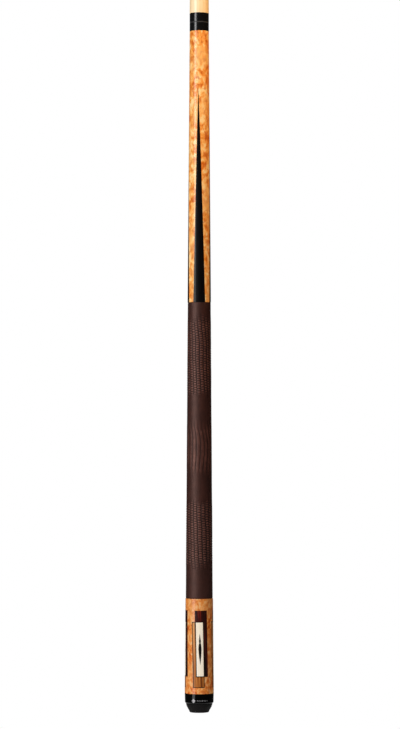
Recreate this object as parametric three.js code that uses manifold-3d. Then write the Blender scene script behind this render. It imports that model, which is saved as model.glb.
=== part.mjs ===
// A two-piece pool cue: figured maple forearm with four black points, leather wrap, butt sleeve
// with four inlaid windows, black butt cap, rubber bumper, and a maple shaft that unscrews.
// Millimetres. +Z runs from the bumper's foot, which holds the origin, up to the leather tip.
import * as THREE from 'three'
import { mergeVertices } from 'three/addons/utils/BufferGeometryUtils.js'
import Module from 'manifold-3d'

const wasm = await Module()
wasm.setup()

// Stations along the cue.
const BUMPER_TOP = 10.0
const CAP_TOP = 20.7
const SLEEVE_TOP = 123.3
const WRAP_TOP = 443.6
const FOREARM_TOP = 737.1
const JOINT_FACE = 746.6
const SHAFT_COLLAR_TOP = 756.5
const SHAFT_LENGTH = 736.6
const CUE_TOP = JOINT_FACE + SHAFT_LENGTH

// Outer radii.
const BUMPER_FOOT_RADIUS = 10.25
const BUMPER_TOP_RADIUS = 14.5
const CAP_BOTTOM_RADIUS = 15.5
const CAP_TOP_RADIUS = 15.75
const SLEEVE_BOTTOM_RADIUS = 15.75
const SLEEVE_TOP_RADIUS = 14.95
const WRAP_BOTTOM_RADIUS = 14.75
const WRAP_TOP_RADIUS = 12.55
const FOREARM_BASE_RADIUS = 12.65
const JOINT_RADIUS = 10.4
const SHAFT_SLIM_RADIUS = 6.6
const TIP_RADIUS = 6.5

// Clearances: SEAM where turned pieces meet, FIT where one slides into another, GAP round a cut inlay.
const SEAM = 0.1
const FIT = 0.25
const GAP = 0.3

// How far a cutter runs past the face it opens, and how much deeper a hole is than its fastener.
const OVERCUT = 1
const HOLE_SPARE = 2

// The joint screw, which is 3/8 in with ten threads to the inch.
const PIN_PITCH = 2.54
const PIN_TURNS_TO_RELEASE = 12.5
const PIN_MAJOR_RADIUS = 4.76
const PIN_ROOT_RADIUS = 3.85
const PIN_TOP = JOINT_FACE + PIN_TURNS_TO_RELEASE * PIN_PITCH
const PIN_ANCHOR_BOTTOM = 706
const PIN_SHANK_RADIUS = 4.7
const THREAD_SIDES = 12

// The hole in the butt's end, shared by the weight bolt and the bumper's stud.
const BOLT_RADIUS = 4.7
const BOLT_HOLE_RADIUS = BOLT_RADIUS + FIT
const BOLT_BOTTOM = 42
const BOLT_TOP = 142

// The tenons that carry the collars, the sleeve and the forearm.
const COLLAR_TENON_RADIUS = 7.8
const SHAFT_TENON_RADIUS = 7.7
const CORE_REAR_TENON_RADIUS = 8.0
const CORE_FRONT_TENON_RADIUS = 7.0
const CORE_FRONT_TENON_LENGTH = 19.4
const CONNECTING_SCREW_RADIUS = 4.0

const OUTER_SIDES = 48
const INNER_SIDES = 24

// ---------------------------------------------------------------- solids

function solidFrom(geometry) {
  const bare = geometry.clone()
  bare.deleteAttribute('normal')
  bare.deleteAttribute('uv')
  const merged = mergeVertices(bare, 1e-5)
  const corners = Array.from(merged.index.array)
  const triVerts = []
  for (let i = 0; i < corners.length; i += 3) {
    const [a, b, c] = corners.slice(i, i + 3)
    if (a !== b && b !== c && c !== a) triVerts.push(a, b, c)
  }
  const vertProperties = new Float32Array(merged.attributes.position.array)
  const mesh = new wasm.Mesh({ numProp: 3, vertProperties, triVerts: new Uint32Array(triVerts) })
  return new wasm.Manifold(mesh)
}

function geometryFrom(solid) {
  const mesh = solid.getMesh()
  const geometry = new THREE.BufferGeometry()
  geometry.setAttribute('position', new THREE.BufferAttribute(new Float32Array(mesh.vertProperties), 3))
  geometry.setIndex(new THREE.BufferAttribute(new Uint32Array(mesh.triVerts), 1))
  return geometry
}

// A turned solid. The outline lists [radius, z] up the outside, and starts and ends on the axis.
function turned(outline, sides = OUTER_SIDES) {
  const points = outline.map(([radius, z]) => new THREE.Vector2(radius, z))
  return solidFrom(new THREE.LatheGeometry(points, sides).rotateX(Math.PI / 2))
}

function cylinder(radius, bottom, top, sides = INNER_SIDES) {
  return turned([[0, bottom], [radius, bottom], [radius, top], [0, top]], sides)
}

// A ring or tube whose outside may taper.
function tube(inner, outerBottom, outerTop, bottom, top) {
  const blank = turned([[0, bottom], [outerBottom, bottom], [outerTop, top], [0, top]])
  return blank.subtract(cylinder(inner, bottom - OVERCUT, top + OVERCUT))
}

function lerp(low, high, share) {
  return low + (high - low) * share
}

// ---------------------------------------------------------------- screw threads

// A bar of the given section wound into a right-hand helix. The section's x is along the cue and
// its y is the distance from the axis.
function helix(section, pitch, firstAngle, lastAngle) {
  const steps = Math.round((lastAngle - firstAngle) / (2 * Math.PI) * THREAD_SIDES)
  const shape = new THREE.Shape(section.map(([along, radius]) => new THREE.Vector2(along, radius)))
  const bar = new THREE.ExtrudeGeometry(shape, { steps, depth: 1, bevelEnabled: false })
  const place = bar.attributes.position
  for (let i = 0; i < place.count; i += 1) {
    const angle = lerp(firstAngle, lastAngle, place.getZ(i))
    const radius = place.getY(i)
    const rise = pitch * angle / (2 * Math.PI)
    place.setXYZ(i, radius * Math.cos(angle), radius * Math.sin(angle), place.getX(i) + rise)
  }
  return solidFrom(bar)
}

// Half the width of the pin's thread at its foot, just under the root, and at its crest.
const RIDGE_FOOT_HALF = 0.84
const RIDGE_CREST_HALF = 0.35
const RIDGE_FOOT_RADIUS = PIN_ROOT_RADIUS - 0.3
const THREAD_PLAY = 0.2

function pinThread() {
  const section = [
    [-RIDGE_FOOT_HALF, RIDGE_FOOT_RADIUS],
    [RIDGE_FOOT_HALF, RIDGE_FOOT_RADIUS],
    [RIDGE_CREST_HALF, PIN_MAJOR_RADIUS],
    [-RIDGE_CREST_HALF, PIN_MAJOR_RADIUS],
  ]
  const firstTurn = 0.5
  const lastTurn = PIN_TURNS_TO_RELEASE - 0.5
  return helix(section, PIN_PITCH, firstTurn * 2 * Math.PI, lastTurn * 2 * Math.PI)
    .translate([0, 0, JOINT_FACE])
}

// The groove that the pin's thread runs in. It passes both ends of the insert.
function insertThread() {
  const mouthHalf = RIDGE_FOOT_HALF + THREAD_PLAY / 2
  const bottomHalf = RIDGE_CREST_HALF + THREAD_PLAY
  const section = [
    [-mouthHalf, INSERT_BORE_RADIUS - FIT],
    [mouthHalf, INSERT_BORE_RADIUS - FIT],
    [bottomHalf, INSERT_GROOVE_RADIUS],
    [-bottomHalf, INSERT_GROOVE_RADIUS],
  ]
  const lastTurn = Math.ceil((INSERT_TOP - JOINT_FACE) / PIN_PITCH) + 1
  return helix(section, PIN_PITCH, -2 * Math.PI, lastTurn * 2 * Math.PI).translate([0, 0, JOINT_FACE])
}

// ---------------------------------------------------------------- shaft half

const FERRULE_LENGTH = 25.4
const FERRULE_TENON_RADIUS = 4.2
const FERRULE_TENON_LENGTH = 20
const PAD_THICKNESS = 0.8
const TIP_HEIGHT = 6
const TIP_DOME_RADIUS = 10.6
const TIP_RIM_INSET = 0.05
const TIP_BOTTOM = CUE_TOP - TIP_HEIGHT
const PAD_BOTTOM = TIP_BOTTOM - PAD_THICKNESS
const FERRULE_BOTTOM = PAD_BOTTOM - FERRULE_LENGTH
const SLIM_LENGTH = 330
const INSERT_RADIUS = 6.4
const INSERT_TOP = 780
const INSERT_BORE_RADIUS = 4.2
const INSERT_GROOVE_RADIUS = 5.05

// The leather tip, domed to a coin's radius.
function tip() {
  const domeCentre = CUE_TOP - TIP_DOME_RADIUS
  const rimAngle = Math.asin((TIP_RADIUS - TIP_RIM_INSET) / TIP_DOME_RADIUS)
  const outline = [[0, TIP_BOTTOM + SEAM], [TIP_RADIUS, TIP_BOTTOM + SEAM]]
  const steps = 4
  for (let i = 0; i <= steps; i += 1) {
    const angle = rimAngle * (1 - i / steps)
    outline.push([TIP_DOME_RADIUS * Math.sin(angle), domeCentre + TIP_DOME_RADIUS * Math.cos(angle)])
  }
  return turned(outline, INNER_SIDES)
}

function tipPad() {
  return cylinder(TIP_RADIUS, PAD_BOTTOM + SEAM, TIP_BOTTOM)
}

function ferrule() {
  const socketTop = FERRULE_BOTTOM + FERRULE_TENON_LENGTH + FIT
  return cylinder(TIP_RADIUS, FERRULE_BOTTOM + SEAM, PAD_BOTTOM)
    .subtract(cylinder(FERRULE_TENON_RADIUS + FIT, FERRULE_BOTTOM - OVERCUT, socketTop))
}

// The maple shaft: a tenon through the collar, a long taper, and a tenon in the ferrule.
function shaft() {
  const tenonBottom = JOINT_FACE + SEAM
  const shoulder = SHAFT_COLLAR_TOP + SEAM
  const slimStart = CUE_TOP - SLIM_LENGTH
  const blank = turned([
    [0, tenonBottom],
    [SHAFT_TENON_RADIUS, tenonBottom],
    [SHAFT_TENON_RADIUS, shoulder],
    [JOINT_RADIUS, shoulder],
    [SHAFT_SLIM_RADIUS, slimStart],
    [TIP_RADIUS, FERRULE_BOTTOM],
    [FERRULE_TENON_RADIUS, FERRULE_BOTTOM],
    [FERRULE_TENON_RADIUS, FERRULE_BOTTOM + FERRULE_TENON_LENGTH],
    [0, FERRULE_BOTTOM + FERRULE_TENON_LENGTH],
  ])
  return blank.subtract(cylinder(INSERT_RADIUS + FIT, tenonBottom - OVERCUT, INSERT_TOP + HOLE_SPARE))
}

function shaftCollar() {
  return tube(SHAFT_TENON_RADIUS + FIT, JOINT_RADIUS, JOINT_RADIUS, JOINT_FACE + SEAM, SHAFT_COLLAR_TOP)
}

function shaftInsert() {
  const bottom = JOINT_FACE + SEAM
  return cylinder(INSERT_RADIUS, bottom, INSERT_TOP)
    .subtract(cylinder(INSERT_BORE_RADIUS, bottom - OVERCUT, INSERT_TOP + OVERCUT, THREAD_SIDES))
    .subtract(insertThread())
}

// ---------------------------------------------------------------- joint and forearm

function jointPin() {
  const chamfer = 1
  const blank = turned([
    [0, PIN_ANCHOR_BOTTOM],
    [PIN_SHANK_RADIUS, PIN_ANCHOR_BOTTOM],
    [PIN_SHANK_RADIUS, JOINT_FACE],
    [PIN_ROOT_RADIUS, JOINT_FACE],
    [PIN_ROOT_RADIUS, PIN_TOP - chamfer],
    [PIN_ROOT_RADIUS - chamfer, PIN_TOP],
    [0, PIN_TOP],
  ], THREAD_SIDES)
  return blank.add(pinThread())
}

function buttCollar() {
  return tube(COLLAR_TENON_RADIUS + FIT, JOINT_RADIUS, JOINT_RADIUS, FOREARM_TOP + SEAM, JOINT_FACE)
}

function forearmRadius(z) {
  return lerp(FOREARM_BASE_RADIUS, JOINT_RADIUS, (z - WRAP_TOP) / (FOREARM_TOP - WRAP_TOP))
}

function forearmEnvelope() {
  return turned([
    [0, WRAP_TOP + SEAM],
    [FOREARM_BASE_RADIUS, WRAP_TOP + SEAM],
    [JOINT_RADIUS, FOREARM_TOP],
    [0, FOREARM_TOP],
  ])
}

// Where the handle's tenon and the connecting screw enter the forearm.
function forearmSockets(clearance) {
  const tenonTop = WRAP_TOP + CORE_FRONT_TENON_LENGTH + FIT
  const screwTop = WRAP_TOP + CONNECTING_SCREW_REACH + FIT
  return cylinder(CORE_FRONT_TENON_RADIUS + clearance, WRAP_TOP - OVERCUT, tenonTop)
    .add(cylinder(CONNECTING_SCREW_RADIUS + FIT, WRAP_TOP, screwTop))
}

const CONNECTING_SCREW_REACH = 54
const POINT_TIP = 673
const POINT_APEX_RADIUS = 4.5
const POINT_DRIFT = -1.1
const POINT_COUNT = 4

// A square prong with an edge towards the axis. Its edge climbs from deep in the wood at the wrap to
// the surface at the point's tip, so the turned surface shows a long triangle. The tip stands
// POINT_DRIFT to one side of the foot.
function prong(inset) {
  const reach = 20
  const rise = POINT_TIP - WRAP_TOP
  const climb = (forearmRadius(POINT_TIP) - POINT_APEX_RADIUS) / rise
  const section = new THREE.Shape([
    new THREE.Vector2(0, 0),
    new THREE.Vector2(-reach, -reach),
    new THREE.Vector2(reach, -reach),
  ])
  const bar = new THREE.ExtrudeGeometry(section, { depth: rise + reach, bevelEnabled: false })
  bar.applyMatrix4(new THREE.Matrix4().makeShear(0, 0, 0, 0, POINT_DRIFT / rise, -climb))
  bar.translate(0, -POINT_APEX_RADIUS - inset * Math.SQRT2, WRAP_TOP)
  return solidFrom(bar)
}

function quarterTurns(solid, count) {
  return Array.from({ length: count }, (_, i) => solid.rotate([0, 0, i * 360 / count]))
}

function forearm() {
  const tenon = cylinder(COLLAR_TENON_RADIUS, FOREARM_TOP - OVERCUT, JOINT_FACE - SEAM)
  const pinBore = cylinder(PIN_SHANK_RADIUS + FIT, PIN_ANCHOR_BOTTOM - HOLE_SPARE, JOINT_FACE + OVERCUT)
  let wood = forearmEnvelope().add(tenon).subtract(pinBore).subtract(forearmSockets(FIT))
  for (const groove of quarterTurns(prong(0), POINT_COUNT)) wood = wood.subtract(groove)
  return wood
}

function points() {
  const point = forearmEnvelope().intersect(prong(GAP)).subtract(forearmSockets(FIT + GAP))
  return quarterTurns(point, POINT_COUNT)
}

// ---------------------------------------------------------------- handle

const WRAP_THICKNESS = 1.0
const CORE_BOTTOM = BUMPER_TOP + 2.5
const BOLT_HOLE_TOP = BOLT_TOP + 14
const CONNECTING_SCREW_BOTTOM = 402

function connectingScrew() {
  return cylinder(CONNECTING_SCREW_RADIUS, CONNECTING_SCREW_BOTTOM, WRAP_TOP + CONNECTING_SCREW_REACH)
}

// The maple dowel that runs from inside the butt cap, through the sleeve and wrap, into the forearm.
function handleCore() {
  const skin = WRAP_THICKNESS + FIT
  const blank = turned([
    [0, CORE_BOTTOM],
    [CORE_REAR_TENON_RADIUS, CORE_BOTTOM],
    [CORE_REAR_TENON_RADIUS, SLEEVE_TOP + SEAM],
    [WRAP_BOTTOM_RADIUS - skin, SLEEVE_TOP + SEAM],
    [WRAP_TOP_RADIUS - skin, WRAP_TOP],
    [CORE_FRONT_TENON_RADIUS, WRAP_TOP],
    [CORE_FRONT_TENON_RADIUS, WRAP_TOP + CORE_FRONT_TENON_LENGTH],
    [0, WRAP_TOP + CORE_FRONT_TENON_LENGTH],
  ])
  const screwHole = cylinder(CONNECTING_SCREW_RADIUS + FIT, CONNECTING_SCREW_BOTTOM - HOLE_SPARE, CUE_TOP)
  const boltHole = cylinder(BOLT_HOLE_RADIUS, 0, BOLT_HOLE_TOP)
  return blank.subtract(screwHole).subtract(boltHole)
}

function wrap() {
  const bottom = SLEEVE_TOP + SEAM
  const tapered = (inset) => turned([
    [0, bottom],
    [WRAP_BOTTOM_RADIUS - inset, bottom],
    [WRAP_TOP_RADIUS - inset, WRAP_TOP],
    [0, WRAP_TOP],
  ])
  return tapered(0).subtract(tapered(WRAP_THICKNESS))
}

// ---------------------------------------------------------------- butt sleeve and its windows

// Each window is two rectangles that overlap, seen flat on: across, then up. The upper right one is
// rosewood. The lower left one is striped wood in a black veneer, and where they cross lies an ivory
// plate with a black spear.
const WINDOW_COUNT = 4
const WINDOW_LEAN = THREE.MathUtils.degToRad(-1.05)
const WINDOW_CENTRE = 68.3
const WINDOW_FLOOR = 11.0
const ROSEWOOD = { left: -4.2, right: 8.9, bottom: 39.1, top: 110.7 }
const VENEER = { left: -7.5, right: 5.2, bottom: 27.5, top: 98.8 }
const VENEER_LINE = 0.8
const INNER_LINE = 1.0
const STRIP_WIDTH = 2.6
const IVORY_BOTTOM = 40.0
const SPEAR_DEPTH = 1.8
const SPEAR_ACROSS = 0.85
const SPEAR_HALF_OUTLINE = [
  [0, 86.5], [1.1, 77.5], [0.7, 75.7], [1.4, 73.8], [1.75, 69.3], [1.2, 61.5], [0, 51.8],
]

const IVORY = {
  left: VENEER.left + VENEER_LINE + STRIP_WIDTH + INNER_LINE,
  right: VENEER.right - VENEER_LINE,
  bottom: IVORY_BOTTOM,
  top: VENEER.top - VENEER_LINE,
}
const STRIP = {
  left: VENEER.left + VENEER_LINE,
  right: VENEER.left + VENEER_LINE + STRIP_WIDTH,
  bottom: VENEER.bottom + VENEER_LINE,
  top: VENEER.top - VENEER_LINE,
}
const STRIPED_FOOT = {
  left: STRIP.left,
  right: IVORY.right,
  bottom: STRIP.bottom,
  top: IVORY.bottom - INNER_LINE,
}

function grown(box, by) {
  return { left: box.left - by, right: box.right + by, bottom: box.bottom - by, top: box.top + by }
}

// A flat outline cut straight in towards the axis, from outside the sleeve down to a flat floor.
function inward(corners, floor) {
  const outside = 20
  const points = corners.map(([across, up]) => new THREE.Vector2(across, up - WINDOW_CENTRE))
  const shape = new THREE.Shape(points)
  const block = new THREE.ExtrudeGeometry(shape, { depth: outside - floor, bevelEnabled: false })
  block.translate(0, 0, floor)
  block.rotateX(Math.PI / 2)
  block.rotateY(WINDOW_LEAN)
  block.translate(0, 0, WINDOW_CENTRE)
  return solidFrom(block)
}

function boxInward(box, floor = WINDOW_FLOOR) {
  const { left, right, bottom, top } = box
  return inward([[left, bottom], [right, bottom], [right, top], [left, top]], floor)
}

function spearInward(widen, floor) {
  const [top, ...rest] = SPEAR_HALF_OUTLINE
  const foot = rest.pop()
  const right = rest.map(([half, up]) => [SPEAR_ACROSS + half + widen, up])
  const left = rest.map(([half, up]) => [SPEAR_ACROSS - half - widen, up]).reverse()
  const stretch = widen * 3
  return inward([
    [SPEAR_ACROSS, foot[1] - stretch],
    ...right.reverse(),
    [SPEAR_ACROSS, top[1] + stretch],
    ...left.reverse(),
  ], floor)
}

function sleeveEnvelope() {
  return turned([
    [0, CAP_TOP + SEAM],
    [SLEEVE_BOTTOM_RADIUS, CAP_TOP + SEAM],
    [SLEEVE_TOP_RADIUS, SLEEVE_TOP],
    [0, SLEEVE_TOP],
  ])
}

function buttSleeve() {
  const half = GAP / 2
  const floor = WINDOW_FLOOR - GAP
  const pocket = boxInward(grown(ROSEWOOD, half), floor).add(boxInward(grown(VENEER, half), floor))
  let wood = sleeveEnvelope().subtract(cylinder(CORE_REAR_TENON_RADIUS + FIT, 0, SLEEVE_TOP + OVERCUT))
  for (const window of quarterTurns(pocket, WINDOW_COUNT)) wood = wood.subtract(window)
  return wood
}

// The five inlaid pieces of the window that faces -Y.
function windowPieces() {
  const half = GAP / 2
  const through = WINDOW_FLOOR - OVERCUT
  const surface = sleeveEnvelope()
  const spearFloor = lerp(SLEEVE_TOP_RADIUS, SLEEVE_BOTTOM_RADIUS, 0.5) - SPEAR_DEPTH
  const inlaid = (box) => surface.intersect(boxInward(grown(box, -half)))
  const rosewood = inlaid(ROSEWOOD).subtract(boxInward(grown(VENEER, half), through))
  const veneer = inlaid(VENEER)
    .subtract(boxInward(grown(STRIP, half), through))
    .subtract(boxInward(grown(STRIPED_FOOT, half), through))
    .subtract(boxInward(grown(IVORY, half), through))
  const striped = inlaid(STRIP).add(inlaid(STRIPED_FOOT))
  const ivory = inlaid(IVORY).subtract(spearInward(half, spearFloor - GAP))
  const spear = surface.intersect(spearInward(-half / 2, spearFloor))
  return {
    rosewood_inlay: rosewood,
    veneer_line: veneer,
    striped_inlay: striped,
    ivory_plate: ivory,
    spear,
  }
}

// ---------------------------------------------------------------- butt end

const CAP_CHAMFER = 0.9
const STUD_HEAD_RADIUS = 7.5
const STUD_HEAD_BOTTOM = 3.4
const STUD_HEAD_TOP = 5.0
const WASHER_THICKNESS = 1.2
const STUD_PITCH = 1.5875
const STUD_TURNS_TO_RELEASE = 10
const STUD_TOP = BUMPER_TOP + STUD_TURNS_TO_RELEASE * STUD_PITCH

function buttCap() {
  const blank = turned([
    [0, BUMPER_TOP + SEAM],
    [CAP_BOTTOM_RADIUS - CAP_CHAMFER, BUMPER_TOP + SEAM],
    [CAP_BOTTOM_RADIUS, BUMPER_TOP + CAP_CHAMFER],
    [CAP_TOP_RADIUS, CAP_TOP],
    [0, CAP_TOP],
  ])
  return blank
    .subtract(cylinder(CORE_REAR_TENON_RADIUS + FIT, CORE_BOTTOM - FIT, CAP_TOP + OVERCUT))
    .subtract(cylinder(BOLT_HOLE_RADIUS, 0, CORE_BOTTOM + OVERCUT))
}

// The steel bolt that sets the cue's weight. A hex key reaches its socket when the bumper is out.
function weightBolt() {
  const hexRadius = 2.75
  const socketDepth = 5
  return cylinder(BOLT_RADIUS, BOLT_BOTTOM, BOLT_TOP)
    .subtract(cylinder(hexRadius, BOLT_BOTTOM - OVERCUT, BOLT_BOTTOM + socketDepth, 6))
}

function bumper() {
  const round = 1.2
  const outline = [[0, 0], [BUMPER_FOOT_RADIUS - round, 0]]
  const steps = 3
  for (let i = 1; i <= steps; i += 1) {
    const angle = Math.PI / 2 * i / steps
    outline.push([BUMPER_FOOT_RADIUS - round + round * Math.sin(angle), round - round * Math.cos(angle)])
  }
  outline.push([BUMPER_TOP_RADIUS, BUMPER_TOP], [0, BUMPER_TOP])
  const hollowTop = STUD_HEAD_TOP + WASHER_THICKNESS + 2 * SEAM
  return turned(outline)
    .subtract(cylinder(STUD_HEAD_RADIUS + FIT, STUD_HEAD_BOTTOM - SEAM, hollowTop))
    .subtract(cylinder(BOLT_RADIUS + FIT, STUD_HEAD_BOTTOM, BUMPER_TOP + OVERCUT))
}

function bumperWasher() {
  const bottom = STUD_HEAD_TOP + SEAM
  return cylinder(STUD_HEAD_RADIUS, bottom, bottom + WASHER_THICKNESS)
    .subtract(cylinder(BOLT_RADIUS + FIT, 0, BUMPER_TOP))
}

function bumperStud() {
  return cylinder(STUD_HEAD_RADIUS, STUD_HEAD_BOTTOM, STUD_HEAD_TOP)
    .add(cylinder(BOLT_RADIUS, STUD_HEAD_BOTTOM + WASHER_THICKNESS, STUD_TOP))
}

// ---------------------------------------------------------------- materials and assembly

const FINISHES = {
  leather_tip: { color: 0x3f5f78, roughness: 0.9, metalness: 0 },
  fibre: { color: 0x7d2320, roughness: 0.6, metalness: 0 },
  ferrule: { color: 0xf2eee2, roughness: 0.25, metalness: 0 },
  maple: { color: 0xf2d6a6, roughness: 0.35, metalness: 0 },
  figured_maple: { color: 0xe9a35c, roughness: 0.2, metalness: 0 },
  black: { color: 0x0c0c0c, roughness: 0.2, metalness: 0 },
  brass: { color: 0xc79a4a, roughness: 0.35, metalness: 1 },
  steel: { color: 0xb9bcc0, roughness: 0.3, metalness: 1 },
  wrap: { color: 0x46302a, roughness: 0.5, metalness: 0 },
  rosewood: { color: 0x3a1410, roughness: 0.25, metalness: 0 },
  striped_wood: { color: 0xb06a2c, roughness: 0.25, metalness: 0 },
  ivory: { color: 0xf4e4c8, roughness: 0.25, metalness: 0 },
  rubber: { color: 0x1f1f1f, roughness: 0.8, metalness: 0 },
}

const cue = new THREE.Group()

function addPiece(name, solid, finish) {
  const mesh = new THREE.Mesh(geometryFrom(solid), new THREE.MeshStandardMaterial(FINISHES[finish]))
  mesh.name = name
  cue.add(mesh)
}

addPiece('tip', tip(), 'leather_tip')
addPiece('tip_pad', tipPad(), 'fibre')
addPiece('ferrule', ferrule(), 'ferrule')
addPiece('shaft', shaft(), 'maple')
addPiece('shaft_collar', shaftCollar(), 'black')
addPiece('shaft_insert', shaftInsert(), 'brass')

addPiece('joint_pin', jointPin(), 'steel')
addPiece('butt_collar', buttCollar(), 'black')
addPiece('forearm', forearm(), 'figured_maple')
points().forEach((point, i) => addPiece(`forearm_point_${i + 1}`, point, 'black'))

addPiece('connecting_screw', connectingScrew(), 'steel')
addPiece('handle_core', handleCore(), 'maple')
addPiece('wrap', wrap(), 'wrap')

addPiece('butt_sleeve', buttSleeve(), 'figured_maple')
const windowFinishes = {
  rosewood_inlay: 'rosewood',
  veneer_line: 'black',
  striped_inlay: 'striped_wood',
  ivory_plate: 'ivory',
  spear: 'black',
}
for (const [piece, solid] of Object.entries(windowPieces())) {
  quarterTurns(solid, WINDOW_COUNT).forEach((copy, i) => {
    addPiece(`${piece}_${i + 1}`, copy, windowFinishes[piece])
  })
}

addPiece('butt_cap', buttCap(), 'black')
addPiece('weight_bolt', weightBolt(), 'steel')
addPiece('bumper', bumper(), 'rubber')
addPiece('bumper_washer', bumperWasher(), 'steel')
addPiece('bumper_stud', bumperStud(), 'steel')

export default cue
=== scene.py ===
import math

import bmesh
import bpy
from mathutils import Matrix, Vector


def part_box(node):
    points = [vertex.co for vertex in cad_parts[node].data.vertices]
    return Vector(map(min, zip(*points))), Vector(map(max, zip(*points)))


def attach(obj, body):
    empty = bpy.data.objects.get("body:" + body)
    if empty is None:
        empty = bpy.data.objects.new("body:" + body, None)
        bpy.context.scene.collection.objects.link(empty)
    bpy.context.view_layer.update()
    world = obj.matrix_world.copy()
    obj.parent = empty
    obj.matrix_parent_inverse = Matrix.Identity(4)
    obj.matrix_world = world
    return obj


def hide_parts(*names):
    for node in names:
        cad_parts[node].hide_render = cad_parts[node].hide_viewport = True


# A pool cue in metres, standing on +Z: the bumper's foot is at the origin and the tip is at the top.
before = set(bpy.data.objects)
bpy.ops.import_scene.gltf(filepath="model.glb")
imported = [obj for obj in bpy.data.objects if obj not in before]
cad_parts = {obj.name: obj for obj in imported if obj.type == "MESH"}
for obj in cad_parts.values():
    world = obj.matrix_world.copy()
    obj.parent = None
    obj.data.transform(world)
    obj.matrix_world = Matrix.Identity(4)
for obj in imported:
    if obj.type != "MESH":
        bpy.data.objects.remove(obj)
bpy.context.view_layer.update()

# ---------------------------------------------------------------- camera
# A long lens, 2.83 m off and level with the middle of the wrap. Its frame is shifted up to hold the
# butt from the bumper to just above the joint.
bumper_foot, bumper_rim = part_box("bumper")
camera_data = bpy.data.cameras.new("camera")
camera_data.sensor_width = 36
camera_data.lens = 128.85
camera_data.shift_y = 0.1058
camera = bpy.data.objects.new("camera", camera_data)
camera.location = (0.0008, -2.827, bumper_foot.z + 0.293)
camera.rotation_euler = (math.radians(90), 0, 0)
bpy.context.collection.objects.link(camera)
bpy.context.scene.camera = camera
bpy.context.scene.view_settings.view_transform = "Standard"


# ---------------------------------------------------------------- studio
# A pale floor below the cue, a bright wall far behind it, a bright ceiling and a dim front. Two tall
# softboxes stand to the left of the camera, and the upper one is the stronger. Two fill lamps that
# leave no reflection lighten the front and warm the upper right.
class Wire:
    """One output socket of a node tree. Arithmetic adds Math nodes, and node() adds any other."""

    def __init__(self, tree, socket=None):
        self.tree = tree
        self.socket = socket

    def node(self, kind, settings=(), inputs=(), output=0):
        made = self.tree.nodes.new(kind)
        for name, value in dict(settings).items():
            if name == "stops":
                ramp = made.color_ramp
                while len(ramp.elements) < len(value):
                    ramp.elements.new(0.5)
                for element, (place, colour) in zip(ramp.elements, value):
                    element.position = place
                    element.color = colour
            else:
                setattr(made, name, value)
        for key, value in dict(inputs).items():
            if isinstance(value, Wire):
                self.tree.links.new(value.socket, made.inputs[key])
            else:
                made.inputs[key].default_value = value
        return Wire(self.tree, made.outputs[output] if made.outputs else None)

    def math(self, operation, *values):
        return self.node("ShaderNodeMath", {"operation": operation}, enumerate(values))

    def __add__(self, other):
        return self.math("ADD", self, other)

    def __radd__(self, other):
        return self.math("ADD", other, self)

    def __sub__(self, other):
        return self.math("SUBTRACT", self, other)

    def __rsub__(self, other):
        return self.math("SUBTRACT", other, self)

    def __mul__(self, other):
        return self.math("MULTIPLY", self, other)

    def __rmul__(self, other):
        return self.math("MULTIPLY", other, self)

    def __truediv__(self, other):
        return self.math("DIVIDE", self, other)

    def __rtruediv__(self, other):
        return self.math("DIVIDE", other, self)


def put(name, mesh):
    """Places a mesh in the scene under a name."""
    piece = bpy.data.objects.new(name, mesh)
    bpy.context.collection.objects.link(piece)
    return piece


room = bpy.data.worlds.new("room")
room.use_nodes = True
room.node_tree.nodes.clear()
air = Wire(room.node_tree)
way = air.node("ShaderNodeTexCoord", output="Generated")
wall = air.node("ShaderNodeMapRange", {"interpolation_type": "SMOOTHSTEP"}, {
    "Value": air.node("ShaderNodeSeparateXYZ", {}, {0: way}, "Y"),
    "From Min": 0.93, "From Max": 0.99, "To Min": 0.04, "To Max": 1.0}, "Result")
ceiling = air.node("ShaderNodeMapRange", {"interpolation_type": "SMOOTHSTEP"}, {
    "Value": air.node("ShaderNodeSeparateXYZ", {}, {0: way}, "Z"),
    "From Min": 0.5, "From Max": 0.8, "To Min": 0.0, "To Max": 1.2}, "Result")
walls = air.node("ShaderNodeBackground", {}, {"Strength": wall + ceiling})
white = air.node("ShaderNodeBackground", {}, {"Color": (1, 1, 1, 1), "Strength": 1.0})
seen = air.node("ShaderNodeLightPath", output="Is Camera Ray")
shown = air.node("ShaderNodeMixShader", {}, {0: seen, 1: walls, 2: white})
air.node("ShaderNodeOutputWorld", {}, {"Surface": shown})
bpy.context.scene.world = room


def softbox(name, bearing, distance, height, size, radiance, tint=(1, 1, 1), reflected=True, spread=180):
    """A rectangular lamp that faces the cue from a bearing left of the camera's. Angles are in degrees."""
    data = bpy.data.lights.new(name, "AREA")
    data.shape = "RECTANGLE"
    data.size, data.size_y = size
    data.energy = radiance * math.pi * size[0] * size[1]
    data.color = tint
    data.spread = math.radians(spread)
    lamp = put(name, data)
    angle = math.radians(bearing)
    lamp.location = (-distance * math.sin(angle), -distance * math.cos(angle), height)
    lamp.rotation_euler = (math.radians(90), 0, -angle)
    lamp.visible_camera = False
    lamp.visible_glossy = reflected


softbox("upper_softbox", bearing=46, distance=1.4, height=1.05, size=(0.5, 0.9), radiance=8.5)
softbox("lower_softbox", bearing=46, distance=1.4, height=0.15, size=(0.5, 0.9), radiance=4.5)
softbox("front_fill", bearing=20, distance=1.4, height=0.6, size=(0.9, 1.2), radiance=1.2, reflected=False)
softbox("warm_fill", bearing=-62, distance=0.9, height=1.0, size=(0.5, 0.5), radiance=3.4,
        tint=(1.0, 0.6, 0.22), reflected=False, spread=100)

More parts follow.
